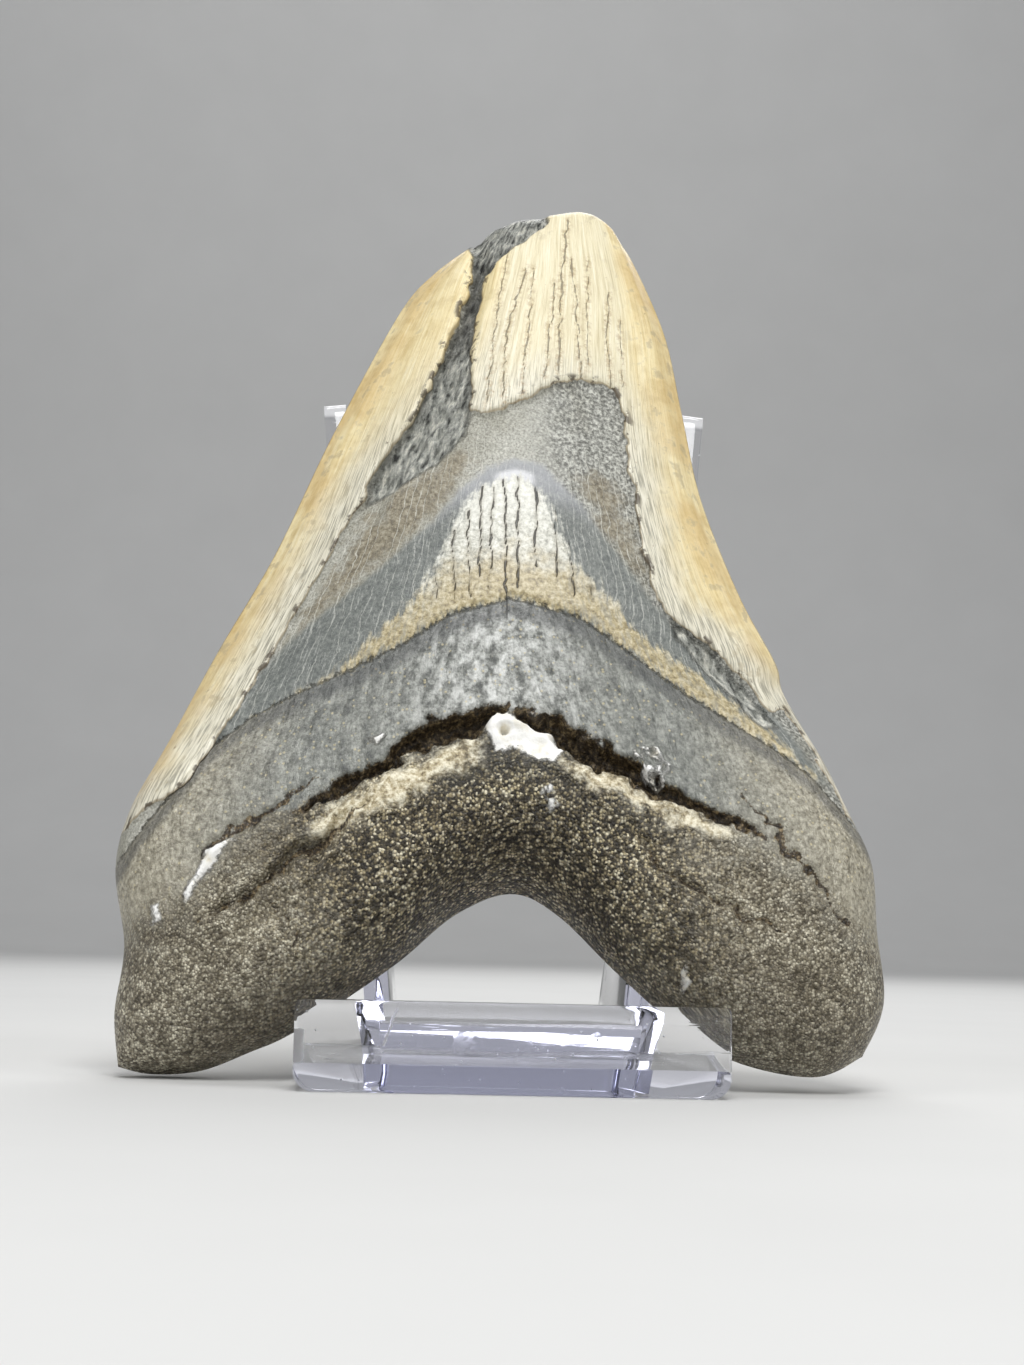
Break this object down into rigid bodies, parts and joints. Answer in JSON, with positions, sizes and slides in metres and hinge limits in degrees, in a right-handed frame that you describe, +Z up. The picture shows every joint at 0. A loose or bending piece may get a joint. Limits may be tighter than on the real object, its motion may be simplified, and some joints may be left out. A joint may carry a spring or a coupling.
{
  "type": "fossil shark tooth on an easel",
  "caption": "Broad triangular fossil shark tooth with a forked root and broken enamel, leaning back on a small clear acrylic easel with a front lip.",
  "frame": {"origin": "on the table under the middle of the easel's base", "axes": "+Z up, +Y away from the viewer, the tooth's display face and the easel's lip on the -Y side, +X to the viewer's right"},
  "size_m": [0.0976, 0.069, 0.1248],
  "materials": {
    "fossil_tooth": null,
    "clear_acrylic": "clear polished acrylic with light scratches"
  },
  "bodies": {
    "root": {"tooth": "fossil_tooth", "easel": "clear_acrylic"}
  },
  "joints": []
}
